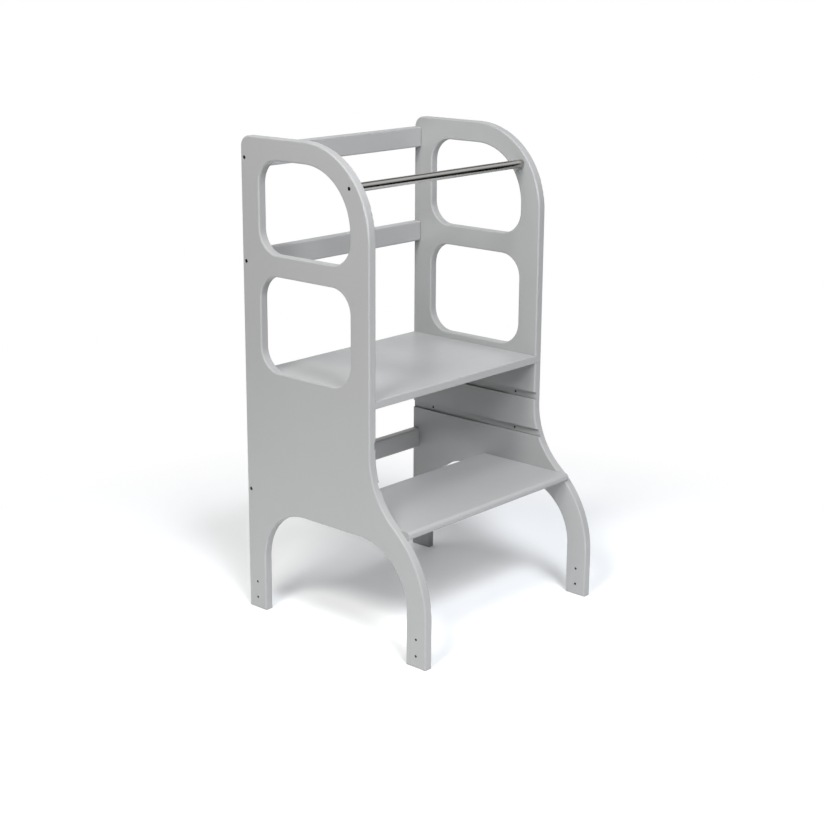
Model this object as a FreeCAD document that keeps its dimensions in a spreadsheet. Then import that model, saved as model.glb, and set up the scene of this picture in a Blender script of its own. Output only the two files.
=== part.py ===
import FreeCAD, Part
import math
import os
import re
import Sketcher

# Toddler kitchen helper stool: two cut-out side panels that carry a standing platform,
# a lower step, three back rails and a steel handrail.
#
# Frame: millimetres, +Z up, +X to the stool's right, the child climbs in from -Y.
# The origin is on the floor, midway between the side panels and between the feet.

VERTICAL_AXIS = -2
ORIGIN = (-1, 1)

document = FreeCAD.newDocument("KitchenHelperStool")
sheet = document.addObject("Spreadsheet::Sheet", "Sizes")
parts = []

# alias, size in millimetres (or degrees), what it is
SIZES = [
    ("overall_height", 910, "floor to the top of the side panels"),
    ("overall_width", 492, "outside of one side panel to the outside of the other"),
    ("overall_depth", 454, "front feet to the back edge"),
    ("panel_thick", 18, "side panels and back rails"),
    ("panel_round", 3, "rounding along every edge of a side panel or a rail"),
    ("upper_depth", 319, "depth of the upright part of a side panel"),
    ("frame_strip", 46, "material left in front of and behind the windows"),
    ("back_foot_wide", 45, "back foot, front to back"),
    ("front_foot_wide", 46, "front foot, front to back"),
    ("arch_top", 213, "height of the arch between the feet"),
    ("arch_back_arc", 105, "radius of the arch at the back foot"),
    ("arch_front_arc", 112, "radius of the arch at the front foot"),
    ("crown_arc", 160, "radius of the large curve at the top front"),
    ("crown_back_arc", 20, "radius of the top back corner"),
    ("waist_arc", 155, "radius of the hollow curve above the step"),
    ("hip_arc", 200, "radius of the full curve down to the front foot"),
    ("hip_height", 90, "height at which the front foot becomes straight"),
    ("upper_window_base", 700, "lower edge of the upper window"),
    ("upper_window_top", 870, "upper edge of the upper window"),
    ("lower_window_base", 480, "lower edge of the lower window"),
    ("lower_window_top", 660, "upper edge of the lower window"),
    ("window_arc", 45, "radius of the window corners"),
    ("window_crown_arc", 110, "radius of the upper window at its top front"),
    ("board_thick", 15, "platform and step boards"),
    ("board_round", 2, "rounding along the platform edges and the step's back edge"),
    ("platform_top", 467, "standing height at the top level"),
    ("level_pitch", 74, "distance from one platform level to the next"),
    ("step_top", 243, "height of the lower step"),
    ("step_front", 176.5, "step nose, in front of the origin"),
    ("step_back", 33.5, "step back edge, behind the origin"),
    ("groove_depth", 5, "how far the boards are let into the side panels"),
    ("groove_gap", 0.2, "play between a board and its groove"),
    ("rail_high", 40, "height of a back rail"),
    ("top_rail_middle", 870, "height of the top rail's centre line"),
    ("middle_rail_middle", 680, "height of the middle rail's centre line"),
    ("lower_rail_middle", 240, "height of the lower rail's centre line"),
    ("handrail_wide", 16, "outside diameter of the handrail"),
    ("handrail_wall", 1.5, "wall of the handrail tube"),
    ("handrail_front", 45, "handrail centre line, in front of the origin"),
    ("handrail_height", 838, "height of the handrail's centre line"),
    ("plug_long", 18, "length of a threaded plug in the handrail's end"),
    ("screw_wide", 5, "shank of the screws through the side panels"),
    ("screw_core", 3.8, "threaded length of a rail screw, at its core"),
    ("screw_head", 7, "screw head across its flush face"),
    ("screw_sunk", 0.3, "how far a screw head lies below the panel's face"),
    ("screw_socket", 3, "hexagon socket, across its flats"),
    ("socket_deep", 2.5, "depth of the hexagon socket"),
    ("rail_screw_long", 50, "length of a rail screw"),
    ("handrail_screw_long", 34, "length of a handrail screw"),
    ("fit_gap", 0.1, "play round a fastener in its hole, on the radius"),
    ("dowel_wide", 6, "wooden dowel beside each rail screw"),
    ("dowel_long", 24, "dowel, half in the panel and half in the rail"),
    ("dowel_drop", 12, "dowel centre below the rail's centre line"),
    ("cam_hole_wide", 5, "blind holes in the grooves for the cam bolts"),
    ("cam_hole_deep", 11, "depth of those holes from the groove's floor"),
    ("cam_hole_spread", 216, "from the front cam hole of a platform level to the back one"),
    ("step_cam_spread", 140, "from the front cam hole of the step to the back one"),
    ("cam_wide", 15, "cam drum diameter"),
    ("cam_high", 12, "cam drum height"),
    ("cam_inset", 24, "cam centre from the end of its board"),
    ("cam_slot_long", 7, "cross slot on the cam's face"),
    ("cam_slot_wide", 1.4, "width of the cross slot"),
    ("cam_slot_deep", 1.5, "depth of the cross slot"),
    ("bolt_shank_wide", 6, "cam bolt in its board"),
    ("bolt_bore_wide", 7, "bore for the cam bolt in its board"),
    ("bolt_neck_wide", 3.6, "narrow neck behind the cam bolt's head"),
    ("bolt_shank_long", 18, "cam bolt shank from the groove's floor to the neck"),
    ("bolt_neck_long", 4, "length of the neck"),
    ("bolt_head_long", 3, "length of the cam bolt's head"),
    ("leg_hole_wide", 5, "holes in each foot for a floor fitting"),
    ("leg_hole_base", 22, "height of the lower hole"),
    ("leg_hole_pitch", 32, "from the lower hole to the upper one"),
]

for row, (alias, millimetres, meaning) in enumerate(SIZES, start=1):
    sheet.set("A%d" % row, meaning)
    sheet.set("B%d" % row, str(millimetres))
    sheet.setAlias("B%d" % row, alias)
document.recompute()

# Places that several pieces share, as formulas of the sheet.
BACK = "overall_depth / 2"
FRONT = "-overall_depth / 2"
UPPER_FRONT = "overall_depth / 2 - upper_depth"
INNER_FACE = "overall_width / 2 - panel_thick"
RAIL_LINE = "overall_depth / 2 - panel_thick / 2"
BOARD_END = INNER_FACE + " + groove_depth"
PLATFORM_MIDDLE = "overall_depth / 2 - upper_depth / 2"
STEP_MIDDLE = "(step_back - step_front) / 2"
RAILS = {"top": "top_rail_middle", "middle": "middle_rail_middle", "lower": "lower_rail_middle"}
LEVELS = ["platform_top", "platform_top - level_pitch", "platform_top - 2 * level_pitch"]


def linked(text):
    """Turns each alias in a formula into a link to its cell."""
    return re.sub(r"[a-z_]+(?!\(|[a-z_])", lambda word: "Sizes." + word.group(), text)


def value(text):
    """The number that a formula of the sheet gives."""
    return float(sheet.evalExpression(linked(text)))


def point(across, up):
    return FreeCAD.Vector(across, up, 0)


def line(start, end):
    """A straight piece of an outline, with its first and last points' numbers."""
    return Part.LineSegment(point(*start), point(*end)), 1, 2


def arc(centre, radius, start_degrees, end_degrees):
    """A round piece of an outline, run anticlockwise or clockwise."""
    circle = Part.Circle(point(*centre), FreeCAD.Vector(0, 0, 1), radius)
    angles = sorted((math.radians(start_degrees), math.radians(end_degrees)))
    anticlockwise = end_degrees > start_degrees
    ends = (1, 2) if anticlockwise else (2, 1)
    return (Part.ArcOfCircle(circle, *angles),) + ends


class Drawing:
    """A sketch on its body's own plane, with every size linked to the sheet."""

    def __init__(self, body, name, role, offset="0"):
        self.sketch = body.newObject("Sketcher::SketchObject", name)
        plane = next(each for each in body.Origin.OriginFeatures if each.Role == role)
        self.sketch.AttachmentSupport = (plane, [""])
        self.sketch.MapMode = "FlatFace"
        self.sketch.setExpression("AttachmentOffset.Base.z", linked(offset))

    def rule(self, kind, *where):
        self.sketch.addConstraint(Sketcher.Constraint(kind, *where))

    def size(self, kind, text, *where):
        number = self.sketch.addConstraint(Sketcher.Constraint(kind, *where, value(text)))
        self.sketch.setExpression("Constraints[%d]" % number, linked(text))

    def place(self, direction, text, *spot):
        """Holds a point at a signed distance from the origin, along X or Y."""
        if value(text) > 0:
            self.size("Distance" + direction, text, *ORIGIN, *spot)
        elif value(text) < 0:
            self.size("Distance" + direction, "-(" + text + ")", *spot, *ORIGIN)
        else:
            axis = {"X": VERTICAL_AXIS, "Y": -1}[direction]
            self.rule("PointOnObject", *spot, axis)

    def loop(self, pieces):
        """Draws a closed outline: smooth where an arc begins or ends, else a corner."""
        numbers = [self.sketch.addGeometry(geometry) for geometry, first, last in pieces]
        count = len(pieces)
        for index, (geometry, first, last) in enumerate(pieces):
            after = (index + 1) % count
            next_geometry, next_first, next_last = pieces[after]
            round_pieces = [isinstance(each, Part.ArcOfCircle) for each in (geometry, next_geometry)]
            kind = "Tangent" if any(round_pieces) else "Coincident"
            self.rule(kind, numbers[index], last, numbers[after], next_first)
            if isinstance(geometry, Part.LineSegment):
                upright = abs(geometry.StartPoint.x - geometry.EndPoint.x) < 1e-6
                self.rule("Vertical" if upright else "Horizontal", numbers[index])
        return numbers

    def box(self, left, right, base, top, corners=("0", "0", "0", "0")):
        """An upright box; corners are its radii, anticlockwise from the lower left one."""
        x_low, x_high, y_low, y_high = (value(each) for each in (left, right, base, top))
        spots = [(x_low, y_low), (x_high, y_low), (x_high, y_high), (x_low, y_high)]
        inward = [(1, 1), (-1, 1), (-1, -1), (1, -1)]
        along = [(1, 0), (0, 1), (-1, 0), (0, -1)]
        pieces = []
        radii = []
        for index, (spot, radius_text) in enumerate(zip(spots, corners)):
            radius = value(radius_text)
            centre = (spot[0] + inward[index][0] * radius, spot[1] + inward[index][1] * radius)
            if radius:
                radii.append((len(pieces), radius_text))
                pieces.append(arc(centre, radius, 180 + 90 * index, 270 + 90 * index))
            after = (index + 1) % 4
            next_radius = value(corners[after])
            run = along[index]
            start = (spot[0] + run[0] * radius, spot[1] + run[1] * radius)
            goal = spots[after]
            end = (goal[0] - run[0] * next_radius, goal[1] - run[1] * next_radius)
            pieces.append(line(start, end))
        numbers = self.loop(pieces)
        for number, radius_text in radii:
            self.size("Radius", radius_text, numbers[number])
        lines = [number for number, piece in zip(numbers, pieces) if isinstance(piece[0], Part.LineSegment)]
        for number, direction, text in zip(lines, "YXYX", (base, right, top, left)):
            self.place(direction, text, number, 1)

    def circle(self, across, up, diameter):
        """A circle at a signed place."""
        centre = point(value(across), value(up))
        normal = FreeCAD.Vector(0, 0, 1)
        number = self.sketch.addGeometry(Part.Circle(centre, normal, value(diameter) / 2))
        self.size("Diameter", diameter, number)
        self.place("X", across, number, 3)
        self.place("Y", up, number, 3)


def new_body(name, solids=1):
    """A body with its label; a group of like fasteners holds several solids."""
    body = document.addObject("PartDesign::Body", name)
    body.Label = name
    body.AllowCompound = solids > 1
    parts.append((body, solids))
    return body


def put(body, x="0", y="0", z="0"):
    """Places a body in the stool's frame."""
    for axis, text in zip("xyz", (x, y, z)):
        body.setExpression("Placement.Base." + axis, linked(text))


def pad(body, name, drawing, length, both_ways=False, backwards=False):
    feature = body.newObject("PartDesign::Pad", name)
    feature.Profile = drawing.sketch
    feature.SideType = "Symmetric" if both_ways else "One side"
    feature.Reversed = backwards
    feature.setExpression("Length", linked(length))
    document.recompute()
    return feature


def pocket(body, name, drawing, length=None, backwards=False):
    """Cuts a drawing away: to a depth, or right through both ways."""
    before = body.Shape.Volume
    feature = body.newObject("PartDesign::Pocket", name)
    feature.Profile = drawing.sketch
    feature.Reversed = backwards
    if length is None:
        feature.Type = "ThroughAll"
        feature.SideType = "Symmetric"
    else:
        feature.setExpression("Length", linked(length))
    document.recompute()
    if not body.Shape.Volume < before:
        raise RuntimeError(name + " cuts nothing from " + body.Label)
    return feature


def mirror(body, name, features):
    """Repeats features on the other side of the body's own YZ plane."""
    feature = body.newObject("PartDesign::Mirrored", name)
    plane = next(each for each in body.Origin.OriginFeatures if each.Role == "YZ_Plane")
    feature.Originals = features
    feature.MirrorPlane = (plane, [""])
    body.Tip = feature
    document.recompute()
    return feature


def side_outline(drawing):
    """The side panel's edge, anticlockwise from the back foot's inner corner."""
    back = value(BACK)
    front = value(FRONT)
    upper_front = value(UPPER_FRONT)
    top = value("overall_height")
    back_arc = value("crown_back_arc")
    crown = value("crown_arc")
    waist = value("waist_arc")
    hip = value("hip_arc")
    hip_height = value("hip_height")
    arch_top = value("arch_top")
    arch_front = value("arch_front_arc")
    arch_back = value("arch_back_arc")
    back_foot = back - value("back_foot_wide")
    front_foot = front + value("front_foot_wide")
    # The hollow curve and the full curve below it touch where they meet.
    between_centres = (front + hip) - (upper_front - waist)
    drop = math.sqrt((waist + hip) ** 2 - between_centres ** 2)
    waist_height = hip_height + drop
    lean = math.degrees(math.atan2(drop, between_centres))
    pieces = [
        line((back_foot, 0), (back, 0)),
        line((back, 0), (back, top - back_arc)),
        arc((back - back_arc, top - back_arc), back_arc, 0, 90),
        line((back - back_arc, top), (upper_front + crown, top)),
        arc((upper_front + crown, top - crown), crown, 90, 180),
        line((upper_front, top - crown), (upper_front, waist_height)),
        arc((upper_front - waist, waist_height), waist, 0, -lean),
        arc((front + hip, hip_height), hip, 180 - lean, 180),
        line((front, hip_height), (front, 0)),
        line((front, 0), (front_foot, 0)),
        line((front_foot, 0), (front_foot, arch_top - arch_front)),
        arc((front_foot + arch_front, arch_top - arch_front), arch_front, 180, 90),
        line((front_foot + arch_front, arch_top), (back_foot - arch_back, arch_top)),
        arc((back_foot - arch_back, arch_top - arch_back), arch_back, 90, 0),
        line((back_foot, arch_top - arch_back), (back_foot, 0)),
    ]
    edge = drawing.loop(pieces)
    (back_base, back_edge, back_corner, top_edge, crown_edge, front_edge, waist_edge, hip_edge,
     foot_edge, front_base, foot_inside, arch_front_edge, arch_edge, arch_back_edge, back_inside) = edge
    drawing.place("Y", "0", back_base, 1)
    drawing.place("Y", "0", front_base, 1)
    drawing.place("X", BACK, back_edge, 1)
    drawing.place("Y", "overall_height", top_edge, 1)
    drawing.place("X", UPPER_FRONT, front_edge, 1)
    drawing.place("X", FRONT, foot_edge, 1)
    drawing.place("Y", "hip_height", foot_edge, 1)
    drawing.place("X", FRONT + " + front_foot_wide", foot_inside, 1)
    drawing.place("X", BACK + " - back_foot_wide", back_inside, 1)
    drawing.place("Y", "arch_top", arch_edge, 1)
    for number, text in ((back_corner, "crown_back_arc"), (crown_edge, "crown_arc"),
                         (waist_edge, "waist_arc"), (hip_edge, "hip_arc"),
                         (arch_front_edge, "arch_front_arc"), (arch_back_edge, "arch_back_arc")):
        drawing.size("Radius", text, number)


def round_panel(body):
    """Rounds every edge of both faces of a side panel."""
    tip = body.Tip
    faces = []
    for number, face in enumerate(tip.Shape.Faces, start=1):
        level = isinstance(face.Surface, Part.Plane) and abs(face.normalAt(0, 0).x) > 0.99
        if level:
            faces.append("Face%d" % number)
    feature = body.newObject("PartDesign::Fillet", "RoundedEdges")
    feature.Base = (tip, faces)
    feature.setExpression("Radius", linked("panel_round"))
    document.recompute()


def side_panel(name, inward):
    """A side panel about its own middle; inward is +1 where its inner face looks along +X."""
    body = new_body(name)
    put(body, x="%d * (overall_width - panel_thick) / 2" % -inward)

    outline = Drawing(body, "Outline", "YZ_Plane")
    side_outline(outline)
    pad(body, "Board", outline, "panel_thick", both_ways=True)

    window_front = UPPER_FRONT + " + frame_strip"
    window_back = BACK + " - frame_strip"
    windows = Drawing(body, "Windows", "YZ_Plane")
    windows.box(window_front, window_back, "lower_window_base", "lower_window_top", ("window_arc",) * 4)
    windows.box(window_front, window_back, "upper_window_base", "upper_window_top",
                ("window_arc", "window_arc", "window_arc", "window_crown_arc"))
    pocket(body, "WindowCuts", windows)
    round_panel(body)

    # Grooves for the platform at its three levels, from the front edge to the back edge.
    side = "%d * " % inward
    floor = side + "(panel_thick / 2 - groove_depth)"
    mouth = side + "(panel_thick / 2 + groove_depth)"
    left, right = (floor, mouth) if inward > 0 else (mouth, floor)
    levels = Drawing(body, "LevelGrooves", "XZ_Plane")
    for level in LEVELS:
        levels.box(left, right, level + " - board_thick", level + " + groove_gap")
    pocket(body, "LevelGrooveCuts", levels)

    # The step's groove is open at the front and stops behind the step.
    step = Drawing(body, "StepGroove", "YZ_Plane", floor)
    step.box(FRONT, "step_back + groove_gap", "step_top - board_thick", "step_top + groove_gap")
    pocket(body, "StepGrooveCut", step, "2 * groove_depth", backwards=inward > 0)

    cams = Drawing(body, "CamHoles", "YZ_Plane", floor)
    for level in LEVELS:
        for end in "-+":
            across = PLATFORM_MIDDLE + end + "cam_hole_spread / 2"
            cams.circle(across, level + " - board_thick / 2", "cam_hole_wide")
    for end in "-+":
        across = STEP_MIDDLE + end + "step_cam_spread / 2"
        cams.circle(across, "step_top - board_thick / 2", "cam_hole_wide")
    pocket(body, "CamHoleCuts", cams, "cam_hole_deep", backwards=inward < 0)

    dowels = Drawing(body, "DowelHoles", "YZ_Plane", side + "panel_thick / 2")
    for height in RAILS.values():
        dowels.circle(RAIL_LINE, height + " - dowel_drop", "dowel_wide + 2 * fit_gap")
    pocket(body, "DowelHoleCuts", dowels, "dowel_long / 2 + fit_gap", backwards=inward < 0)

    # Sunk holes for the screws, from the outer face.
    screws = Drawing(body, "ScrewHoles", "YZ_Plane", "-" + side + "panel_thick / 2")
    for height in RAILS.values():
        screws.circle(RAIL_LINE, height, "screw_wide")
    screws.circle("-handrail_front", "handrail_height", "screw_wide")
    holes = body.newObject("PartDesign::Hole", "SunkHoles")
    holes.Profile = screws.sketch
    document.recompute()
    holes.Reversed = inward > 0
    holes.ThreadType = "None"
    holes.DepthType = "ThroughAll"
    holes.setExpression("Diameter", linked("screw_wide + 2 * fit_gap"))
    holes.HoleCutType = "Countersink"
    holes.HoleCutCustomValues = True
    holes.setExpression("HoleCutDiameter", linked("screw_head + 2 * screw_sunk + 2 * fit_gap"))
    holes.HoleCutCountersinkAngle = 90
    document.recompute()

    legs = Drawing(body, "LegHoles", "YZ_Plane")
    for across in (BACK + " - back_foot_wide / 2", "-(" + BACK + " - back_foot_wide / 2)"):
        for up in ("leg_hole_base", "leg_hole_base + leg_hole_pitch"):
            legs.circle(across, up, "leg_hole_wide")
    pocket(body, "LegHoleCuts", legs)
    return body


def platform_profile(drawing):
    """The platform seen from its end, all four edges rounded."""
    drawing.box(UPPER_FRONT, BACK, "0", "board_thick", ("board_round",) * 4)


def step_profile(drawing):
    """The step seen from its end: a half-round nose in front, rounded edges behind."""
    back = value("step_back")
    top = value("board_thick")
    corner = value("board_round")
    nose = top / 2
    nose_centre = value("board_thick / 2 - step_front")
    pieces = [
        line((nose_centre, 0), (back - corner, 0)),
        arc((back - corner, corner), corner, 270, 360),
        line((back, corner), (back, top - corner)),
        arc((back - corner, top - corner), corner, 0, 90),
        line((back - corner, top), (nose_centre, top)),
        arc((nose_centre, nose), nose, 90, 270),
    ]
    underside, low_edge, back_edge, high_edge, tread, nose_edge = drawing.loop(pieces)
    drawing.place("Y", "0", underside, 1)
    drawing.place("X", "step_back", back_edge, 1)
    drawing.place("Y", "board_thick", tread, 1)
    drawing.place("X", "board_thick / 2 - step_front", nose_edge, 3)
    drawing.size("Radius", "board_round", low_edge)
    drawing.size("Radius", "board_round", high_edge)


def cam_board(name, draw_profile, top, middle, spread):
    """A board let into the side panels, bored for a cam and a cam bolt at each corner."""
    body = new_body(name)
    put(body, z=top + " - board_thick")

    profile = Drawing(body, "Profile", "YZ_Plane")
    draw_profile(profile)
    pad(body, "Board", profile, "2 * (" + BOARD_END + ")", both_ways=True)

    ends = [middle + " - " + spread + " / 2", middle + " + " + spread + " / 2"]
    bores = Drawing(body, "CamBores", "XY_Plane")
    for across in ("-(" + BOARD_END + " - cam_inset)", BOARD_END + " - cam_inset"):
        for along in ends:
            bores.circle(across, along, "cam_wide + 2 * fit_gap")
    pocket(body, "CamBoreCuts", bores, "cam_high + 2 * fit_gap", backwards=True)

    shanks = Drawing(body, "BoltBores", "YZ_Plane", BOARD_END)
    for along in ends:
        shanks.circle(along, "board_thick / 2", "bolt_bore_wide")
    cut = pocket(body, "BoltBoreCuts", shanks, "cam_inset - cam_wide / 4")
    mirror(body, "OtherBoltBores", [cut])
    return body


def cam_bolts(name, top, middle, spread):
    """Four steel bolts, from the holes in the grooves into the cams."""
    body = new_body(name, solids=4)
    put(body, z=top + " - board_thick / 2")
    lengths = [
        ("Thread", "0", "cam_hole_wide - 2 * fit_gap", "cam_hole_deep - 1", False),
        ("Shank", "0", "bolt_shank_wide", "bolt_shank_long", True),
        ("Neck", "bolt_shank_long", "bolt_neck_wide", "bolt_neck_long", True),
        ("Head", "bolt_shank_long + bolt_neck_long", "bolt_shank_wide", "bolt_head_long", True),
    ]
    features = []
    for label, start, width, length, backwards in lengths:
        section = Drawing(body, label + "Section", "YZ_Plane", BOARD_END + " - (" + start + ")")
        for end in "-+":
            section.circle(middle + end + spread + " / 2", "0", width)
        features.append(pad(body, label, section, length, backwards=backwards))
    mirror(body, "OtherBolts", features)
    return body


def cams(name, top, middle, spread):
    """Four cam drums in the underside of a board, each with room for its bolt's head."""
    body = new_body(name, solids=4)
    put(body, z=top + " - board_thick")
    rows = [middle + " - " + spread + " / 2", middle + " + " + spread + " / 2"]
    centre = BOARD_END + " - cam_inset"

    drums = Drawing(body, "DrumSection", "XY_Plane")
    for along in rows:
        drums.circle(centre, along, "cam_wide")
    features = [pad(body, "Drums", drums, "cam_high")]

    rooms = Drawing(body, "HeadRooms", "YZ_Plane", BOARD_END)
    for along in rows:
        rooms.circle(along, "board_thick / 2", "bolt_bore_wide")
    features.append(pocket(body, "HeadRoomCuts", rooms, "cam_inset + cam_wide / 4"))

    slots = Drawing(body, "CrossSlots", "XY_Plane")
    for along in rows:
        slots.box(centre + " - cam_slot_long / 2", centre + " + cam_slot_long / 2",
                  along + " - cam_slot_wide / 2", along + " + cam_slot_wide / 2")
    features.append(pocket(body, "SlotCuts", slots, "cam_slot_deep", backwards=True))

    crosses = Drawing(body, "OtherSlots", "XY_Plane")
    for along in rows:
        crosses.box(centre + " - cam_slot_wide / 2", centre + " + cam_slot_wide / 2",
                    along + " - cam_slot_long / 2", along + " + cam_slot_long / 2")
    features.append(pocket(body, "OtherSlotCuts", crosses, "cam_slot_deep", backwards=True))
    mirror(body, "OtherCams", features)
    return body


def back_rail(name, height):
    """A rail between the side panels, level with their back edges."""
    body = new_body(name)
    put(body, y=RAIL_LINE, z=height)

    section = Drawing(body, "Section", "YZ_Plane")
    section.box("-panel_thick / 2", "panel_thick / 2", "-rail_high / 2", "rail_high / 2")
    rail = pad(body, "Rail", section, "2 * (" + INNER_FACE + ")", both_ways=True)
    edges = body.newObject("PartDesign::Fillet", "RoundedEdges")
    edges.Base = (rail, [""])
    edges.UseAllEdges = True
    edges.setExpression("Radius", linked("panel_round"))
    document.recompute()

    pilot = Drawing(body, "ScrewBore", "YZ_Plane", INNER_FACE)
    pilot.circle("0", "0", "screw_core + 2 * fit_gap")
    pilot_cut = pocket(body, "ScrewBoreCut", pilot, "rail_screw_long + fit_gap - panel_thick")

    dowel = Drawing(body, "DowelBore", "YZ_Plane", INNER_FACE)
    dowel.circle("0", "-dowel_drop", "dowel_wide + 2 * fit_gap")
    dowel_cut = pocket(body, "DowelBoreCut", dowel, "dowel_long / 2 + fit_gap")
    mirror(body, "OtherEnd", [pilot_cut, dowel_cut])
    return body


def screw(body, length, shank_length, core):
    """Draws and turns one sunk screw whose head looks along -X, at the left panel."""
    face = value("-overall_width / 2 + screw_sunk")
    head = value("screw_head") / 2
    shank = value("screw_wide") / 2
    thread = value(core) / 2
    cone = head - shank
    shank_end = value(shank_length) - value("screw_sunk")
    end = value(length) - value("screw_sunk")
    corners = [(0, 0), (end, 0), (end, thread), (shank_end, thread), (shank_end, shank), (cone, shank), (0, head)]
    drawing = Drawing(body, "Turned", "XZ_Plane")
    sketch = drawing.sketch
    count = len(corners)
    for index, (along, out) in enumerate(corners):
        after = corners[(index + 1) % count]
        sketch.addGeometry(line((face + along, out), (face + after[0], after[1]))[0])
    for index in range(count):
        drawing.rule("Coincident", index, 2, (index + 1) % count, 1)
    for index, kind in ((0, "Horizontal"), (1, "Vertical"), (2, "Horizontal"), (3, "Vertical"),
                        (4, "Horizontal"), (6, "Vertical")):
        drawing.rule(kind, index)
    drawing.place("Y", "0", 0, 1)
    drawing.place("X", "-overall_width / 2 + screw_sunk", 0, 1)
    drawing.size("DistanceX", length + " - screw_sunk", 0, 1, 0, 2)
    drawing.size("DistanceY", core + " / 2", 0, 2, 1, 2)
    drawing.size("DistanceX", shank_length + " - screw_sunk", 0, 1, 3, 1)
    drawing.size("DistanceY", "screw_wide / 2", 0, 1, 4, 1)
    drawing.size("DistanceX", "screw_head / 2 - screw_wide / 2", 0, 1, 5, 1)
    drawing.size("DistanceY", "screw_head / 2", 0, 1, 6, 1)
    turned = body.newObject("PartDesign::Revolution", "Screw")
    turned.Profile = sketch
    turned.ReferenceAxis = (sketch, ["H_Axis"])
    document.recompute()

    socket = Drawing(body, "Socket", "YZ_Plane", "-overall_width / 2 + screw_sunk + socket_deep")
    across = value("screw_socket") / math.sqrt(3)
    hexagon = [(across * math.cos(math.radians(60 * step)), across * math.sin(math.radians(60 * step)))
               for step in range(6)]
    for index in range(6):
        socket.sketch.addGeometry(line(hexagon[index], hexagon[(index + 1) % 6])[0])
    normal = FreeCAD.Vector(0, 0, 1)
    ring = socket.sketch.addGeometry(Part.Circle(point(0, 0), normal, across), True)
    for index in range(6):
        socket.rule("Coincident", index, 2, (index + 1) % 6, 1)
        socket.rule("PointOnObject", index, 1, ring)
    for index in range(5):
        socket.rule("Equal", index, index + 1)
    socket.place("X", "0", ring, 3)
    socket.place("Y", "0", ring, 3)
    socket.rule("Horizontal", 1)
    socket.size("Diameter", "screw_socket * 2 / sqrt(3)", ring)
    cut = pocket(body, "SocketCut", socket, "2 * socket_deep")
    return [turned, cut]


def rail_screws(name, height):
    """The screw at each end of a rail."""
    body = new_body(name, solids=2)
    put(body, y=RAIL_LINE, z=height)
    mirror(body, "OtherScrew", screw(body, "rail_screw_long", "panel_thick", "screw_core"))
    return body


def rail_dowels(name, height):
    """The dowel under the screw at each end of a rail, which stops the rail from turning."""
    body = new_body(name, solids=2)
    put(body, y=RAIL_LINE, z=height + " - dowel_drop")
    section = Drawing(body, "Section", "YZ_Plane", INNER_FACE)
    section.circle("0", "0", "dowel_wide")
    mirror(body, "OtherDowel", [pad(body, "Dowel", section, "dowel_long", both_ways=True)])
    return body


def handrail_screw(name, side):
    """A machine screw through a side panel into the handrail's plug."""
    body = new_body(name)
    put(body, y="-handrail_front", z="handrail_height")
    screw(body, "handrail_screw_long", "handrail_screw_long - 1", "screw_core")
    if side > 0:
        body.Placement.Rotation = FreeCAD.Rotation(FreeCAD.Vector(0, 0, 1), 180)
    return body


def handrail_tube(name):
    body = new_body(name)
    put(body, y="-handrail_front", z="handrail_height")
    section = Drawing(body, "Section", "YZ_Plane")
    section.circle("0", "0", "handrail_wide")
    section.circle("0", "0", "handrail_wide - 2 * handrail_wall")
    pad(body, "Tube", section, "2 * (" + INNER_FACE + ")", both_ways=True)
    return body


def handrail_plug(name, side):
    """The threaded plug inside one end of the handrail."""
    body = new_body(name)
    put(body, y="-handrail_front", z="handrail_height")
    section = Drawing(body, "Section", "YZ_Plane", "%d * (%s)" % (side, INNER_FACE))
    section.circle("0", "0", "handrail_wide - 2 * handrail_wall - 2 * fit_gap")
    section.circle("0", "0", "screw_wide + 2 * fit_gap")
    pad(body, "Plug", section, "plug_long", backwards=side > 0)
    return body


side_panel("left_side_panel", 1)
side_panel("right_side_panel", -1)

cam_board("platform", platform_profile, "platform_top", PLATFORM_MIDDLE, "cam_hole_spread")
cam_board("lower_step", step_profile, "step_top", STEP_MIDDLE, "step_cam_spread")

for place_name, rail_height in RAILS.items():
    back_rail(place_name + "_back_rail", rail_height)
    rail_screws(place_name + "_rail_screws", rail_height)
    rail_dowels(place_name + "_rail_dowels", rail_height)

handrail_tube("handrail_tube")
for side_name, side in (("left", -1), ("right", 1)):
    handrail_plug(side_name + "_handrail_plug", side)
    handrail_screw(side_name + "_handrail_screw", side)

cam_bolts("platform_cam_bolts", "platform_top", PLATFORM_MIDDLE, "cam_hole_spread")
cams("platform_cams", "platform_top", PLATFORM_MIDDLE, "cam_hole_spread")
cam_bolts("step_cam_bolts", "step_top", STEP_MIDDLE, "step_cam_spread")
cams("step_cams", "step_top", STEP_MIDDLE, "step_cam_spread")

document.recompute()
for each in document.Objects:
    if "Invalid" in each.State or "Error" in each.State:
        raise RuntimeError(each.Label + " did not compute: " + str(each.State))
    if each.TypeId == "Sketcher::SketchObject" and not each.FullyConstrained:
        raise RuntimeError(each.Label + " in " + each.getParentGeoFeatureGroup().Label + " is loose")
for body, solids in parts:
    shape = body.Shape
    if shape.isNull() or not shape.isValid() or len(shape.Solids) != solids:
        raise RuntimeError("%s has %d solids, not %d" % (body.Label, len(shape.Solids), solids))

os.makedirs("parts", exist_ok=True)
for body, solids in parts:
    body.Shape.exportStep("parts/" + body.Label + ".step")
print("wrote", len(parts), "parts")
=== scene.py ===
"""Toddler's kitchen helper stool: lacquered birch side panels, boards and rails, a ground steel handrail,
and the screws, dowels and cam fittings that hold them together, in a white studio.

Blender units are metres. The child climbs in from -Y, and X runs from one side panel to the other."""

import math

import bmesh
import bpy
from bpy.props import FloatProperty, FloatVectorProperty, PointerProperty
from bpy.types import Operator, Panel, PropertyGroup
from mathutils import Matrix, Vector


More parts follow.
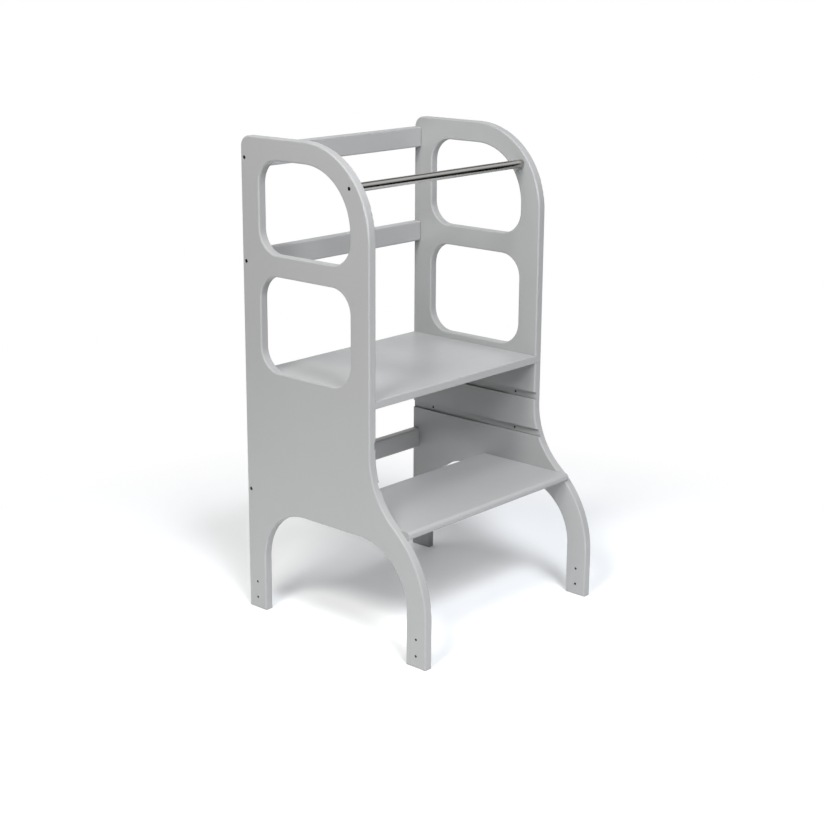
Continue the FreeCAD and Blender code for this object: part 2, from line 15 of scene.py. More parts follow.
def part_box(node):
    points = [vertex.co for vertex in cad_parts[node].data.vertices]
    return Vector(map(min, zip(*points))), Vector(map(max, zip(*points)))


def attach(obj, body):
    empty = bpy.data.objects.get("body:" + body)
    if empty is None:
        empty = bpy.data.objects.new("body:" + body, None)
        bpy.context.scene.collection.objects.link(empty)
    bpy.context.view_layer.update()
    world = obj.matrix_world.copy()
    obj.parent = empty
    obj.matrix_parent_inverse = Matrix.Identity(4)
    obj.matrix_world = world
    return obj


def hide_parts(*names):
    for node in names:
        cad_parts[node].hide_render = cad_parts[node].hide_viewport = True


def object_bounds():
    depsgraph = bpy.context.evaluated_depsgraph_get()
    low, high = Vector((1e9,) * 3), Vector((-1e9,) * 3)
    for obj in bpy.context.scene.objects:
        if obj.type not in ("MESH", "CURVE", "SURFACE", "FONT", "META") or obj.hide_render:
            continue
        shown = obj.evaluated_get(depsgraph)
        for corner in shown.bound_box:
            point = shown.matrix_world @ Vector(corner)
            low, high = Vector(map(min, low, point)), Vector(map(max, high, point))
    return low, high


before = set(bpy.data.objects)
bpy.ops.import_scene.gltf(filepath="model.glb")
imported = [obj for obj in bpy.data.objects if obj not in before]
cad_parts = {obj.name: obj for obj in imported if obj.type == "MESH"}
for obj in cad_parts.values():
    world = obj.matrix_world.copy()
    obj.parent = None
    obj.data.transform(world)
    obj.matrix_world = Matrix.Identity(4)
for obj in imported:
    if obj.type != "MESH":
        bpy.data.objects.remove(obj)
cad_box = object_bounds()

bl_info = {
    "name": "Kitchen Helper Stool",
    "version": (1, 0, 0),
    "blender": (4, 5, 0),
    "location": "View3D > Sidebar > Helper Stool",
    "description": "Finishes and fasteners of a toddler's kitchen helper stool, and its studio",
    "category": "Object",
}

MM = 0.001
BODY = "root"
# A wave texture at scale 1 repeats after this many metres.
WAVE_LENGTH = 2 * math.pi / 20
RING_POINTS = 24


def linear(code):
    """An sRGB hex colour as linear red, green, blue and alpha."""
    parts = [int(code[place:place + 2], 16) / 255 for place in (1, 3, 5)]
    return (*(part / 12.92 if part <= 0.04045 else ((part + 0.055) / 1.055) ** 2.4 for part in parts), 1.0)


# ---------------------------------------------------------------- settings


class LacquerSettings(PropertyGroup):
    colour: FloatVectorProperty(
        name="Lacquer", description="Light grey lacquer on every board", subtype="COLOR", size=4,
        min=0, max=1, default=linear("#ACACAC"))
    thin_colour: FloatVectorProperty(
        name="Thin coat", description="The same lacquer where the sprayed coat is thinner",
        subtype="COLOR", size=4, min=0, max=1, default=linear("#A9A9A9"))
    # Painted shade: a near-black colour laid in bores and groove corners to stand for the shade there.
    painted_shade_colour: FloatVectorProperty(
        name="Painted shade", description="Near-black colour painted as shade in bores and groove corners",
        subtype="COLOR", size=4, min=0, max=1, default=linear("#2B2824"))
    # How far the ambient occlusion behind the painted shade looks for surrounding surfaces.
    painted_shade_reach: FloatProperty(
        name="Shade reach", description="Distance within which nearby surfaces deepen the painted shade",
        unit="LENGTH", default=9 * MM)
    roughness: FloatProperty(
        name="Roughness", description="How satin the lacquer is", subtype="FACTOR", min=0, max=1,
        default=0.37)
    peel: FloatProperty(
        name="Orange peel", description="Width of the ripples that spraying leaves", unit="LENGTH",
        default=2.2 * MM)
    grain: FloatProperty(
        name="Grain", description="Width of the birch grain that reads through the lacquer", unit="LENGTH",
        default=1.6 * MM)
    ply: FloatProperty(
        name="Ply", description="Thickness of two birch plies, light and dark, at a cut edge",
        unit="LENGTH", default=2.8 * MM)


class MetalSettings(PropertyGroup):
    steel: FloatVectorProperty(
        name="Stainless steel", description="Ground stainless steel of the handrail", subtype="COLOR",
        size=4, min=0, max=1, default=linear("#B5B4B1"))
    steel_roughness: FloatProperty(
        name="Steel roughness", description="How soft the handrail's reflections are", subtype="FACTOR",
        min=0, max=1, default=0.2)
    grit: FloatProperty(
        name="Grinding lines", description="Spacing of the grinding lines round the handrail",
        unit="LENGTH", default=1.2 * MM)
    blackened: FloatVectorProperty(
        name="Blackened steel", description="Black oxide on the socket screws", subtype="COLOR", size=4,
        min=0, max=1, default=linear("#4A4A4B"))
    zinc: FloatVectorProperty(
        name="Zinc plating", description="Blue zinc plating on cam bolts and plugs", subtype="COLOR",
        size=4, min=0, max=1, default=linear("#A9ACAC"))
    cast_zinc: FloatVectorProperty(
        name="Cast zinc", description="Die-cast zinc of the cams", subtype="COLOR", size=4,
        min=0, max=1, default=linear("#A3A4A6"))


class FastenerSettings(PropertyGroup):
    socket: FloatProperty(
        name="Socket", description="Hexagon socket of the screws, across its flats", unit="LENGTH",
        default=3 * MM)
    socket_depth: FloatProperty(
        name="Socket depth", description="Depth of the hexagon socket", unit="LENGTH", default=2.5 * MM)
    rail_pitch: FloatProperty(
        name="Wood thread", description="Pitch of the thread that cuts into a rail", unit="LENGTH",
        default=2.2 * MM)
    handrail_pitch: FloatProperty(
        name="Machine thread", description="Pitch of the thread in the handrail's plug", unit="LENGTH",
        default=0.8 * MM)
    bolt_pitch: FloatProperty(
        name="Cam bolt thread", description="Pitch of the thread of a cam bolt", unit="LENGTH",
        default=2 * MM)
    beech: FloatVectorProperty(
        name="Beech", description="Bare beech of the dowels", subtype="COLOR", size=4, min=0, max=1,
        default=linear("#D3AE82"))
    dark_beech: FloatVectorProperty(
        name="Beech flecks", description="Darker grain of the beech", subtype="COLOR", size=4, min=0,
        max=1, default=linear("#B98F63"))


class StudioSettings(PropertyGroup):
    lens: FloatProperty(
        name="Lens", description="Focal length of the camera", unit="CAMERA", default=71.66)
    place: FloatVectorProperty(
        name="Camera place", description="Where the camera stands", subtype="TRANSLATION", unit="LENGTH",
        default=(-2.2557, -1.9841, 1.2302))
    turn: FloatProperty(
        name="Camera turn", description="How far the camera is turned to the right of straight ahead",
        subtype="ANGLE", unit="ROTATION", default=math.radians(47.01))
    tilt: FloatProperty(
        name="Camera tilt", description="How far the camera looks down", subtype="ANGLE", unit="ROTATION",
        default=math.radians(15.31))
    floor: FloatVectorProperty(
        name="Floor", description="White studio paper", subtype="COLOR", size=4, min=0, max=1,
        default=linear("#F1F1F1"))
    paper: FloatProperty(
        name="Paper", description="Width of the roll of studio paper", unit="LENGTH", default=2.72)
    reflected: FloatProperty(
        name="Reflected room", description="How bright the lit part of the room looks in a reflection",
        min=0, default=0.9)


SETTINGS = {
    "stool_lacquer": LacquerSettings,
    "stool_metal": MetalSettings,
    "stool_fasteners": FastenerSettings,
    "stool_studio": StudioSettings,
}


# ---------------------------------------------------------------- finishes


def add_node(tree, kind, settings=None, links=None):
    """Adds a shader node. Settings are its properties and input values, by socket identifier, and links are
    the nodes that feed its inputs, each with the identifier of the output that is used."""
    node = tree.nodes.new(kind)
    inputs = {socket.identifier: socket for socket in node.inputs}
    for name, setting in (settings or {}).items():
        if name in inputs:
            inputs[name].default_value = setting
        else:
            setattr(node, name, setting)
    for name, (source, output) in (links or {}).items():
        outputs = {socket.identifier: socket for socket in source.outputs}
        tree.links.new(outputs[output], inputs[name])
    return node


def new_material(name):
    """A material with an empty node tree."""
    material = bpy.data.materials.new(name)
    material.use_nodes = True
    material.node_tree.nodes.clear()
    return material


def lacquered_birch(name, settings, along, thickness):
    """Birch plywood, sanded and sprayed with two coats of pigmented satin lacquer.

    The eye sees one even light grey with a soft sheen. Close to, the coat has orange peel, the grain
    reads through as fine long ripples, and the plies as faint lines along the cut edges. Bores and the
    corners of grooves are darkened with painted shade: ambient occlusion mixes in a near-black colour."""
    material = new_material(name)
    tree = material.node_tree
    place = add_node(tree, "ShaderNodeTexCoord")

    patch_width = 120 * MM
    patches = add_node(tree, "ShaderNodeTexNoise", {"Scale": 1 / patch_width, "Detail": 2.0},
                       {"Vector": (place, "Object")})
    tone = add_node(tree, "ShaderNodeMix",
                    {"data_type": "RGBA", "A_Color": settings.colour, "B_Color": settings.thin_colour},
                    {"Factor_Float": (patches, "Fac")})
    # Painted shade: where ambient occlusion finds a fifth of the view or less open, as in bores and the
    # corners of grooves, the colour is the near-black shade colour, and from three quarters open on it is
    # the lacquer's.
    openness = add_node(tree, "ShaderNodeAmbientOcclusion",
                        {"only_local": True, "Distance": settings.painted_shade_reach})
    coat = add_node(tree, "ShaderNodeMapRange", {"From Min": 0.2, "From Max": 0.75},
                    {"Value": (openness, "AO")})
    colour = add_node(tree, "ShaderNodeMix", {"data_type": "RGBA", "A_Color": settings.painted_shade_colour},
                      {"Factor_Float": (coat, "Result"), "B_Color": (tone, "Result_Color")})
    gloss_width = 25 * MM
    gloss = add_node(tree, "ShaderNodeTexNoise", {"Scale": 1 / gloss_width, "Detail": 3.0},
                     {"Vector": (place, "Object")})
    roughness = add_node(tree, "ShaderNodeMapRange",
                         {"To Min": settings.roughness - 0.05, "To Max": settings.roughness + 0.05},
                         {"Value": (gloss, "Fac")})

    peel = add_node(tree, "ShaderNodeTexNoise", {"Scale": 1 / settings.peel, "Detail": 1.0},
                    {"Vector": (place, "Object")})
    # Grain is forty times as long as it is wide.
    stretch = [1 / 40 if axis == along else 1.0 for axis in "XYZ"]
    lengthways = add_node(tree, "ShaderNodeMapping", {"Scale": stretch}, {"Vector": (place, "Object")})
    grain = add_node(tree, "ShaderNodeTexNoise", {"Scale": 1 / settings.grain, "Detail": 2.0},
                     {"Vector": (lengthways, "Vector")})
    plies = add_node(tree, "ShaderNodeTexWave",
                     {"bands_direction": thickness, "Scale": WAVE_LENGTH / settings.ply},
                     {"Vector": (place, "Object")})
    peel_bump = add_node(tree, "ShaderNodeBump", {"Strength": 0.12, "Distance": 0.02 * MM},
                         {"Height": (peel, "Fac")})
    grain_bump = add_node(tree, "ShaderNodeBump", {"Strength": 0.12, "Distance": 0.02 * MM},
                          {"Height": (grain, "Fac"), "Normal": (peel_bump, "Normal")})
    ply_bump = add_node(tree, "ShaderNodeBump", {"Strength": 0.15, "Distance": 0.03 * MM},
                        {"Height": (plies, "Fac"), "Normal": (grain_bump, "Normal")})

    skin = add_node(tree, "ShaderNodeBsdfPrincipled", {"IOR": 1.5},
                    {"Base Color": (colour, "Result_Color"), "Roughness": (roughness, "Result"),
                     "Normal": (ply_bump, "Normal")})
    add_node(tree, "ShaderNodeOutputMaterial", links={"Surface": (skin, "BSDF")})
    return material


def ground_stainless_steel(name, settings):
    """Stainless steel tube, ground round its axis with fine grit.

    The eye sees long light and dark stripes, a little soft, with fine lines round the tube. Real lines
    are about 0.1 mm apart, too fine to show, so they are drawn coarser."""
    material = new_material(name)
    tree = material.node_tree
    place = add_node(tree, "ShaderNodeTexCoord")
    # Stretched across the tube, the noise hardly changes round it, and shows as lines.
    rounds = add_node(tree, "ShaderNodeMapping", {"Scale": (1.0, 1 / 60, 1 / 60)},
                      {"Vector": (place, "Object")})
    lines = add_node(tree, "ShaderNodeTexNoise", {"Scale": 1 / settings.grit, "Detail": 3.0},
                     {"Vector": (rounds, "Vector")})
    smoothest = settings.steel_roughness - 0.06
    roughest = settings.steel_roughness + 0.06
    roughness = add_node(tree, "ShaderNodeMapRange", {"To Min": smoothest, "To Max": roughest},
                         {"Value": (lines, "Fac")})
    bump = add_node(tree, "ShaderNodeBump", {"Strength": 0.1, "Distance": 0.01 * MM},
                    {"Height": (lines, "Fac")})
    skin = add_node(tree, "ShaderNodeBsdfPrincipled", {"Base Color": settings.steel, "Metallic": 1.0},
                    {"Roughness": (roughness, "Result"), "Normal": (bump, "Normal")})
    add_node(tree, "ShaderNodeOutputMaterial", links={"Surface": (skin, "BSDF")})
    return material


def rough_metal(name, colour, roughness, speckle):
    """A dull metal whose skin is slightly uneven at the given size: zinc, plated or cast, looks blue-grey,
    and steel with black oxide nearly black with soft glints."""
    material = new_material(name)
    tree = material.node_tree
    place = add_node(tree, "ShaderNodeTexCoord")
    uneven = add_node(tree, "ShaderNodeTexNoise", {"Scale": 1 / speckle, "Detail": 3.0},
                      {"Vector": (place, "Object")})
    spread = add_node(tree, "ShaderNodeMapRange", {"To Min": roughness - 0.08, "To Max": roughness + 0.08},
                      {"Value": (uneven, "Fac")})
    bump = add_node(tree, "ShaderNodeBump", {"Strength": 0.2, "Distance": 0.05 * MM},
                    {"Height": (uneven, "Fac")})
    skin = add_node(tree, "ShaderNodeBsdfPrincipled", {"Base Color": colour, "Metallic": 1.0},
                    {"Roughness": (spread, "Result"), "Normal": (bump, "Normal")})
    add_node(tree, "ShaderNodeOutputMaterial", links={"Surface": (skin, "BSDF")})
    return material


def turned_beech(name, settings):
    """Bare beech rod, pressed with flutes: pale pinkish brown with short darker flecks along it."""
    material = new_material(name)
    tree = material.node_tree
    place = add_node(tree, "ShaderNodeTexCoord")
    # A fleck is twelve times as long as it is wide.
    fleck = 0.5 * MM
    lengthways = add_node(tree, "ShaderNodeMapping", {"Scale": (1 / 12, 1.0, 1.0)},
                          {"Vector": (place, "Object")})
    flecks = add_node(tree, "ShaderNodeTexNoise", {"Scale": 1 / fleck, "Detail": 3.0},
                      {"Vector": (lengthways, "Vector")})
    tone = add_node(tree, "ShaderNodeMix",
                    {"data_type": "RGBA", "A_Color": settings.beech, "B_Color": settings.dark_beech},
                    {"Factor_Float": (flecks, "Fac")})
    bump = add_node(tree, "ShaderNodeBump", {"Strength": 0.3, "Distance": 0.05 * MM},
                    {"Height": (flecks, "Fac")})
    skin = add_node(tree, "ShaderNodeBsdfPrincipled", {"Roughness": 0.65, "IOR": 1.5},
                    {"Base Color": (tone, "Result_Color"), "Normal": (bump, "Normal")})
    add_node(tree, "ShaderNodeOutputMaterial", links={"Surface": (skin, "BSDF")})
    return material


def finish_nodes(names, material):
    """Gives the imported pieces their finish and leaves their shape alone."""
    for name in names:
        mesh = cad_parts[name].data
        mesh.materials.clear()
        mesh.materials.append(material)


# ---------------------------------------------------------------- fastener shapes


def circle(radius):
    """The distance from the middle to a round rod's skin, which is the same at every angle."""
    return lambda angle: radius


def hexagon(across_flats):
    """The distance from the middle to a hexagon's side, by angle, with a corner at angle 0."""
    def reach(angle):
        from_flat = angle % math.radians(60) - math.radians(30)
        return across_flats / 2 / math.cos(from_flat)
    return reach


def fluted(radius, depth, flutes):
    """The same distance for a fluted rod, whose grooves take up a third of the way round."""
    return lambda angle: radius - depth * (math.cos(flutes * angle) < -0.5)


def skin_rings(mesh, rings, points=RING_POINTS):
    """Joins rings round the X axis into one closed skin. A ring is its place and its reach by angle, and
    the first and last are each shut by a flat face."""
    angles = [2 * math.pi * step / points for step in range(points)]
    loops = []
    for along, reach in rings:
        places = [(along, reach(angle) * math.cos(angle), reach(angle) * math.sin(angle))
                  for angle in angles]
        loops.append([mesh.verts.new(place) for place in places])
    for before, after in zip(loops, loops[1:]):
        for step in range(points):
            beside = (step + 1) % points
            mesh.faces.new((before[step], before[beside], after[beside], after[step]))
    for loop, turn in ((loops[0], -1), (loops[-1], 1)):
        mesh.faces.new(loop[::turn])


def thread(mesh, core, crest, pitch, start, end):
    """A V-shaped ridge wound round the X axis. Its foot is slightly sunk in the core, and it runs out over
    half a turn at each end."""
    steps = int((end - start - pitch) / pitch * RING_POINTS)
    foot = pitch * 0.35
    low = core * 0.97
    least_rise = 0.05
    before = None
    for step in range(steps + 1):
        turn = step / RING_POINTS
        turns_left = (steps - step) / RING_POINTS
        angle = 2 * math.pi * turn
        along = start + foot + pitch * turn
        rise = max(least_rise, min(1.0, 2 * turn, 2 * turns_left))
        side = Vector((0, math.cos(angle), math.sin(angle)))
        high = low + (crest - low) * rise
        section = [mesh.verts.new(side * reach + Vector((along + shift, 0, 0)))
                   for reach, shift in ((low, -foot), (high, 0), (low, foot))]
        if before:
            for corner in range(3):
                beside = (corner + 1) % 3
                mesh.faces.new((before[corner], before[beside], section[beside], section[corner]))
        else:
            mesh.faces.new(section[::-1])
        before = section
    mesh.faces.new(before)


def piece_boxes(node, rows=1):
    """The lowest and highest corners of the like pieces in a node, which lie left and right of the middle,
    and in two rows front and back where rows is 2."""
    points = [vertex.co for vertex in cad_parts[node].data.vertices]
    middle = (min(point.y for point in points) + max(point.y for point in points)) / 2
    groups = {}
    for point in points:
        row = rows == 2 and point.y > middle
        groups.setdefault((point.x > 0, row), []).append(point)
    return [(Vector(map(min, zip(*groups[place]))), Vector(map(max, zip(*groups[place]))))
            for place in sorted(groups)]


def build_fastener(name, node, material, draw, rows=1):
    """Draws a fastener at each of a node's places, its head or outer end first, and lets it stand for the
    node. Drawing runs along +X from the outer end, so the right-hand ones are turned round."""
    shape = bmesh.new()
    for low, high in piece_boxes(node, rows):
        right = low.x > 0
        outer = high.x if right else low.x
        single = bmesh.new()
        draw(single, high.x - low.x, (high.z - low.z) / 2)
        turn = Matrix.Rotation(math.pi if right else 0, 4, "Z")
        centre = Vector((outer, (low.y + high.y) / 2, (low.z + high.z) / 2))
        single.transform(Matrix.Translation(centre) @ turn)
        copy = bpy.data.meshes.new(name)
        single.to_mesh(copy)
        single.free()
        shape.from_mesh(copy)
        bpy.data.meshes.remove(copy)
    bmesh.ops.recalc_face_normals(shape, faces=shape.faces)
    mesh = bpy.data.meshes.new(name)
    shape.to_mesh(mesh)
    shape.free()
    mesh.shade_smooth()
    mesh.set_sharp_from_angle(angle=math.radians(35))
    mesh.materials.append(material)
    piece = bpy.data.objects.new(name, mesh)
    bpy.context.scene.collection.objects.link(piece)
    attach(piece, BODY)
    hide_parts(node)


def draw_screw(mesh, length, head, shank_end, shank, core, crest, pitch, settings):
    """A countersunk screw with a hexagon socket, a plain shank and a thread."""
    socket = hexagon(settings.socket)
    socket_mouth = hexagon(settings.socket + 0.5 * MM)
    mouth_depth = 0.3 * MM
    drilled_tip = 0.6 * MM
    drilled_radius = 0.4 * MM
    rim = 0.25 * MM
    cone = head - shank
    tip = 1.5 * MM
    tip_radius = core * 0.55
    bare_end = 1 * MM
    skin_rings(mesh, [
        (settings.socket_depth + drilled_tip, circle(drilled_radius)),
        (settings.socket_depth, socket),
        (mouth_depth, socket),
        (0, socket_mouth),
        (0, circle(head - rim)),
        (rim, circle(head)),
        (cone, circle(shank)),
        (shank_end, circle(shank)),
        (shank_end + shank - core, circle(core)),
        (length - tip, circle(core)),
        (length, circle(tip_radius)),
    ])
    thread(mesh, core, crest, pitch, shank_end, length - bare_end)


def draw_dowel(mesh, length, radius):
    """A beech dowel with flutes pressed along it and eased ends."""
    flutes = 16
    flute_depth = 0.3 * MM
    ease = 1 * MM
    ease_depth = 0.6 * MM
    grooved = fluted(radius, flute_depth, flutes)
    small = circle(radius - ease_depth)
    skin_rings(mesh, [(0, small), (ease, grooved), (length - ease, grooved), (length, small)],
               points=4 * flutes)


# ---------------------------------------------------------------- operators


class STOOL_OT_side_panels(Operator):
    """Finishes the two side panels, whose grain and plies run upright"""
    bl_idname = "stool.side_panels"
    bl_label = "Side panels"

    def execute(self, context):
        lacquer = lacquered_birch("satin_lacquer_on_upright_birch", context.scene.stool_lacquer, "Z", "X")
        finish_nodes(["left_side_panel", "right_side_panel"], lacquer)
        return {"FINISHED"}


class STOOL_OT_boards(Operator):
    """Finishes the standing platform and the lower step, whose grain runs from side to side"""
    bl_idname = "stool.boards"
    bl_label = "Platform and step"

    def execute(self, context):
        lacquer = lacquered_birch("satin_lacquer_on_flat_birch", context.scene.stool_lacquer, "X", "Z")
        finish_nodes(["platform", "lower_step"], lacquer)
        return {"FINISHED"}


class STOOL_OT_back_rails(Operator):
    """Finishes the three back rails"""
    bl_idname = "stool.back_rails"
    bl_label = "Back rails"

    def execute(self, context):
        lacquer = lacquered_birch("satin_lacquer_on_birch_rail", context.scene.stool_lacquer, "X", "Y")
        finish_nodes(["top_back_rail", "middle_back_rail", "lower_back_rail"], lacquer)
        return {"FINISHED"}


class STOOL_OT_handrail(Operator):
    """Finishes the steel handrail and the plugs in its ends"""
    bl_idname = "stool.handrail"
    bl_label = "Handrail"

    def execute(self, context):
        settings = context.scene.stool_metal
        finish_nodes(["handrail_tube"], ground_stainless_steel("ground_stainless_steel", settings))
        finish_nodes(["left_handrail_plug", "right_handrail_plug"],
                     rough_metal("zinc_plated_plug", settings.zinc, 0.4, 0.8 * MM))
        return {"FINISHED"}


class STOOL_OT_screws(Operator):
    """Builds the socket screws of the rails and of the handrail"""
    bl_idname = "stool.screws"
    bl_label = "Screws"

    def execute(self, context):
        settings = context.scene.stool_fasteners
        oxide = rough_metal("black_oxide_steel", context.scene.stool_metal.blackened, 0.45, 0.8 * MM)
        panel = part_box("left_side_panel")
        panel_thickness = panel[1][0] - panel[0][0]
        shank = 2.5 * MM
        rail_core = 1.9 * MM
        handrail_core = 2.1 * MM
        handrail_crest = 2.45 * MM

        def rail_screw(mesh, length, head):
            draw_screw(mesh, length, head, panel_thickness, shank, rail_core, shank,
                       settings.rail_pitch, settings)

        def handrail_screw(mesh, length, head):
            draw_screw(mesh, length, head, panel_thickness, shank, handrail_core, handrail_crest,
                       settings.handrail_pitch, settings)

        for level in ("top", "middle", "lower"):
            build_fastener(level + "_rail_socket_screws", level + "_rail_screws",
                           oxide, rail_screw)
        for side in ("left", "right"):
            build_fastener(side + "_handrail_socket_screw", side + "_handrail_screw",
                           oxide, handrail_screw)
        return {"FINISHED"}


class STOOL_OT_cam_fittings(Operator):
    """Builds the cam bolts of the platform and the step, and finishes their cams"""
    bl_idname = "stool.cam_fittings"
    bl_label = "Cam fittings"

    def execute(self, context):
        metal = context.scene.stool_metal
        pitch = context.scene.stool_fasteners.bolt_pitch
        plating = rough_metal("zinc_plated_bolt", metal.zinc, 0.38, 0.8 * MM)
        core = 1.8 * MM
        crest = 2.5 * MM
        neck = 1.8 * MM
        shank_long = 18 * MM
        neck_long = 4 * MM
        head_long = 3 * MM
        ease = 0.4 * MM
        point = core * 0.6
        point_long = 1.2 * MM
        bare_point = 0.5 * MM

        def cam_bolt(mesh, length, shank):
            head_start = length - head_long
            shank_end = head_start - neck_long
            thread_end = shank_end - shank_long
            skin_rings(mesh, [
                (0, circle(point)),
                (point_long, circle(core)),
                (thread_end, circle(core)),
                (thread_end, circle(shank - ease)),
                (thread_end + ease, circle(shank)),
                (shank_end - ease, circle(shank)),
                (shank_end, circle(neck)),
                (head_start, circle(neck)),
                (head_start + ease, circle(shank)),
                (length - ease, circle(shank)),
                (length, circle(shank - ease)),
            ])
            thread(mesh, core, crest, pitch, bare_point, thread_end)

        for board in ("platform", "step"):
            build_fastener(board + "_threaded_cam_bolts", board + "_cam_bolts", plating,
                           cam_bolt, rows=2)
        finish_nodes(["platform_cams", "step_cams"],
                     rough_metal("die_cast_zinc", metal.cast_zinc, 0.5, 1.5 * MM))
        return {"FINISHED"}


class STOOL_OT_dowels(Operator):
    """Builds the fluted dowels that keep the rails from turning"""
    bl_idname = "stool.dowels"
    bl_label = "Dowels"

    def execute(self, context):
        beech = turned_beech("fluted_beech", context.scene.stool_fasteners)
        for level in ("top", "middle", "lower"):
            build_fastener(level + "_rail_fluted_dowels", level + "_rail_dowels", beech,
                           draw_dowel)
        return {"FINISHED"}


def floor_material(settings):
    """Matt white studio paper. The camera sees it lifted to white, so only the shadow shows, and its far
    part and its underside melt into the white round it."""
    material = new_material("white_studio_paper")
    tree = material.node_tree
    rays = add_node(tree, "ShaderNodeLightPath")
    place = add_node(tree, "ShaderNodeTexCoord")
    surface = add_node(tree, "ShaderNodeNewGeometry")

    paper = add_node(tree, "ShaderNodeBsdfDiffuse", {"Color": settings.floor})
    bleached = add_node(tree, "ShaderNodeBsdfDiffuse", {"Color": (0.95, 0.95, 0.95, 1)})
    lift = add_node(tree, "ShaderNodeEmission", {"Strength": 0.05})
    lifted = add_node(tree, "ShaderNodeAddShader", links={"Shader": (bleached, "BSDF"),
                                                          "Shader_001": (lift, "Emission")})
    fade_start = 0.6
    fade_end = 1.1
    reach = add_node(tree, "ShaderNodeVectorMath", {"operation": "LENGTH"}, {"Vector": (place, "Object")})
    far = add_node(tree, "ShaderNodeMapRange", {"From Min": fade_start, "From Max": fade_end},
                   {"Value": (reach, "Value")})
    white = add_node(tree, "ShaderNodeEmission", {"Strength": 1.0})
    faded = add_node(tree, "ShaderNodeMixShader", links={"Fac": (far, "Result"),
                                                         "Shader": (lifted, "Shader"),
                                                         "Shader_001": (white, "Emission")})
    seen = add_node(tree, "ShaderNodeMixShader", links={"Fac": (rays, "Is Camera Ray"),
                                                        "Shader": (paper, "BSDF"),
                                                        "Shader_001": (faded, "Shader")})
    clear = add_node(tree, "ShaderNodeBsdfTransparent")
    from_below = add_node(tree, "ShaderNodeMath", {"operation": "MULTIPLY"},
                          {"Value": (surface, "Backfacing"), "Value_001": (rays, "Is Camera Ray")})
    both = add_node(tree, "ShaderNodeMixShader", links={"Fac": (from_below, "Value"),
                                                        "Shader": (seen, "Shader"),
                                                        "Shader_001": (clear, "BSDF")})
    add_node(tree, "ShaderNodeOutputMaterial", links={"Surface": (both, "Shader")})
    return material


def studio_world(settings):
    """White all round for the camera. A reflection sees a dark room: in front of the stool it is lit higher
    up, and behind the stool stands a low lit wall."""
    world = bpy.data.worlds.new("white_studio")
    world.use_nodes = True
    tree = world.node_tree
    tree.nodes.clear()
    rays = add_node(tree, "ShaderNodeLightPath")
    direction = add_node(tree, "ShaderNodeTexCoord")
    split = add_node(tree, "ShaderNodeSeparateXYZ", links={"Vector": (direction, "Generated")})

    # A direction's Z is 0 where it is level and 1 straight up, and its Y is above 0 behind the stool.
    def step_of(start, end, low, high, axis):
        """A soft step between two values, by one axis of the direction."""
        return add_node(tree, "ShaderNodeMapRange",
                        {"interpolation_type": "SMOOTHSTEP", "From Min": start, "From Max": end,
                         "To Min": low, "To Max": high},
                        {"Value": (split, axis)})

    lit_above = step_of(0.0, 0.5, 0, settings.reflected, "Z")
    wall_foot = step_of(0.05, 0.2, 0, settings.reflected, "Z")
    wall_top = step_of(0.35, 0.5, 1, 0.15, "Z")
    wall = add_node(tree, "ShaderNodeMath", {"operation": "MULTIPLY"},
                    {"Value": (wall_foot, "Result"), "Value_001": (wall_top, "Result")})
    behind = step_of(-0.15, 0.15, 0, 1, "Y")
    room = add_node(tree, "ShaderNodeMix", {"data_type": "FLOAT"},
                    {"Factor_Float": (behind, "Result"), "A_Float": (lit_above, "Result"),
                     "B_Float": (wall, "Value")})
    mirrored = add_node(tree, "ShaderNodeMath", {"operation": "MULTIPLY"},
                        {"Value": (room, "Result_Float"), "Value_001": (rays, "Is Glossy Ray")})
    strength = add_node(tree, "ShaderNodeMath", {"operation": "MAXIMUM"},
                        {"Value": (mirrored, "Value"), "Value_001": (rays, "Is Camera Ray")})
    sky = add_node(tree, "ShaderNodeBackground", {"Color": (1, 1, 1, 1)},
                   {"Strength": (strength, "Value")})
    add_node(tree, "ShaderNodeOutputWorld", links={"Surface": (sky, "Background")})
    return world


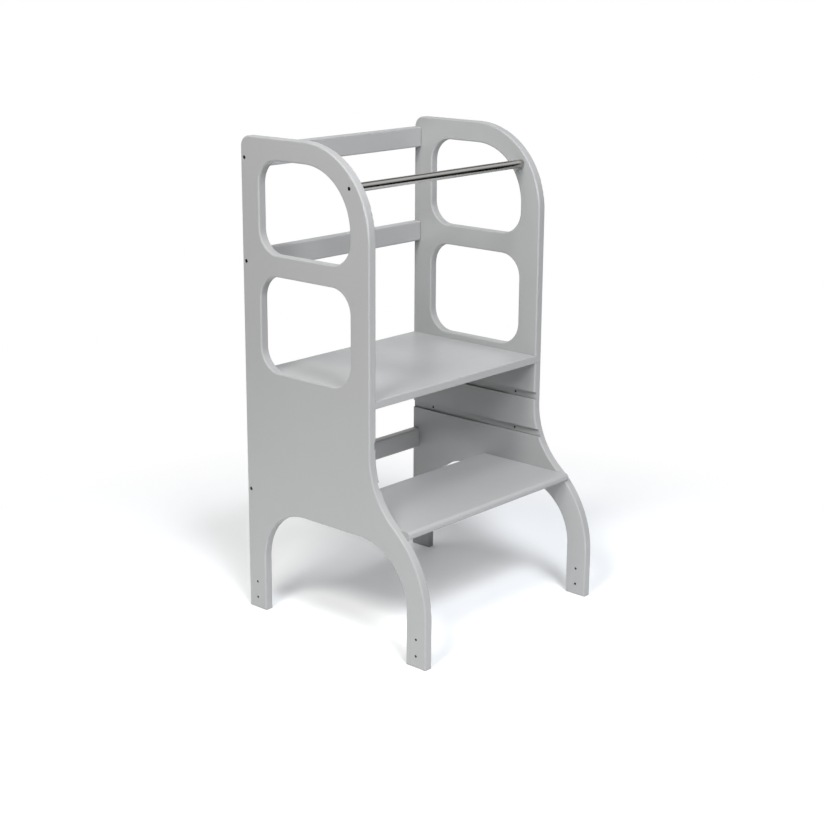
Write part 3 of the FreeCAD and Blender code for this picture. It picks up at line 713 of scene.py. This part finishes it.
class STOOL_OT_studio(Operator):
    """Builds the floor, the lamps, the white surroundings and the camera"""
    bl_idname = "stool.studio"
    bl_label = "Studio"

    WARM = (1.0, 1.0, 0.96)
    DAYLIGHT = (0.98, 1.0, 1.03)
    COOL = (0.95, 1.0, 1.08)
    # A lamp's direction is in degrees round from the front towards the right, and degrees up. Then comes
    # how brightly it lights a surface at the stool that faces it, and its width: a softbox's in metres, and
    # a far lamp's in degrees of the stool's sky. A softbox's last number is its distance in metres.
    SOFTBOXES = [
        ("left_softbox", 270, 40, 0.20, 0.45, WARM, 2.0),
        ("front_softbox", 345, 40, 0.44, 0.9, DAYLIGHT, 2.0),
        ("far_left_softbox", 285, 45, 0.43, 0.9, WARM, 4.0),
        ("far_front_softbox", 330, 45, 0.29, 0.9, DAYLIGHT, 4.0),
    ]
    FAR_LAMPS = [
        ("high_lamp", 330, 55, 0.22, 12, COOL),
        ("back_wall", 180, 45, 0.30, 80, DAYLIGHT),
        ("right_wall", 115, 10, 0.46, 60, DAYLIGHT),
    ]

    # A far lamp lights the stool the same from any distance, so this is only where Blender draws it.
    FAR_LAMP_DISTANCE = 3.0

    def place_lamp(self, scene, lamp, round_from_front, up, distance):
        """Stands a lamp at its distance and turns it towards the middle of the stool. What a reflection
        sees of the studio is the world, so the lamp isn't in it."""
        holder = bpy.data.objects.new(lamp.name, lamp)
        middle = Matrix.Translation((0, 0, (cad_box[0][2] + cad_box[1][2]) / 2))
        turn = Matrix.Rotation(math.radians(round_from_front), 4, "Z")
        tip = Matrix.Rotation(math.radians(90 - up), 4, "X")
        holder.matrix_world = middle @ turn @ tip @ Matrix.Translation((0, 0, distance))
        holder.visible_glossy = False
        scene.collection.objects.link(holder)

    def execute(self, context):
        scene = context.scene
        settings = scene.stool_studio
        half = settings.paper / 2
        mesh = bpy.data.meshes.new("studio_floor")
        mesh.from_pydata([(-half, -half, 0), (half, -half, 0), (half, half, 0), (-half, half, 0)], [],
                         [(0, 1, 2, 3)])
        mesh.materials.append(floor_material(settings))
        floor = bpy.data.objects.new("studio_floor", mesh)
        scene.collection.objects.link(floor)

        for name, round_from_front, up, brightness, width, colour, distance in self.SOFTBOXES:
            lamp = bpy.data.lights.new(name, "AREA")
            lamp.size = width
            lamp.color = colour
            lamp.energy = brightness * (math.pi * distance) ** 2
            self.place_lamp(scene, lamp, round_from_front, up, distance)
        for name, round_from_front, up, brightness, width, colour in self.FAR_LAMPS:
            lamp = bpy.data.lights.new(name, "SUN")
            lamp.angle = math.radians(width)
            lamp.color = colour
            lamp.energy = math.pi * brightness
            self.place_lamp(scene, lamp, round_from_front, up, self.FAR_LAMP_DISTANCE)

        scene.world = studio_world(settings)
        scene.view_settings.view_transform = "Standard"

        camera = bpy.data.cameras.new("camera")
        camera.lens = settings.lens
        camera.sensor_width = 36
        camera.shift_x = 0.0419
        camera.shift_y = -0.015
        holder = bpy.data.objects.new("camera", camera)
        holder.location = settings.place
        holder.rotation_euler = (math.radians(90) - settings.tilt, 0, -settings.turn)
        scene.collection.objects.link(holder)
        scene.camera = holder
        return {"FINISHED"}


OPERATORS = [
    STOOL_OT_side_panels,
    STOOL_OT_boards,
    STOOL_OT_back_rails,
    STOOL_OT_handrail,
    STOOL_OT_screws,
    STOOL_OT_cam_fittings,
    STOOL_OT_dowels,
    STOOL_OT_studio,
]


class STOOL_PT_panel(Panel):
    """Lists the stool's settings and its building steps"""
    bl_idname = "STOOL_PT_panel"
    bl_label = "Helper Stool"
    bl_space_type = "VIEW_3D"
    bl_region_type = "UI"
    bl_category = "Helper Stool"

    def draw(self, context):
        for name, group in SETTINGS.items():
            box = self.layout.box()
            for setting in group.__annotations__:
                box.prop(getattr(context.scene, name), setting)
        for step in OPERATORS:
            self.layout.operator(step.bl_idname)


def register():
    for kind in [*SETTINGS.values(), *OPERATORS, STOOL_PT_panel]:
        bpy.utils.register_class(kind)
    for name, group in SETTINGS.items():
        setattr(bpy.types.Scene, name, PointerProperty(type=group))


def unregister():
    for name in SETTINGS:
        delattr(bpy.types.Scene, name)
    for kind in reversed([*SETTINGS.values(), *OPERATORS, STOOL_PT_panel]):
        bpy.utils.unregister_class(kind)


def main():
    register()
    for step in OPERATORS:
        category, name = step.bl_idname.split(".")
        getattr(getattr(bpy.ops, category), name)()


if __name__ == "__main__":
    main()
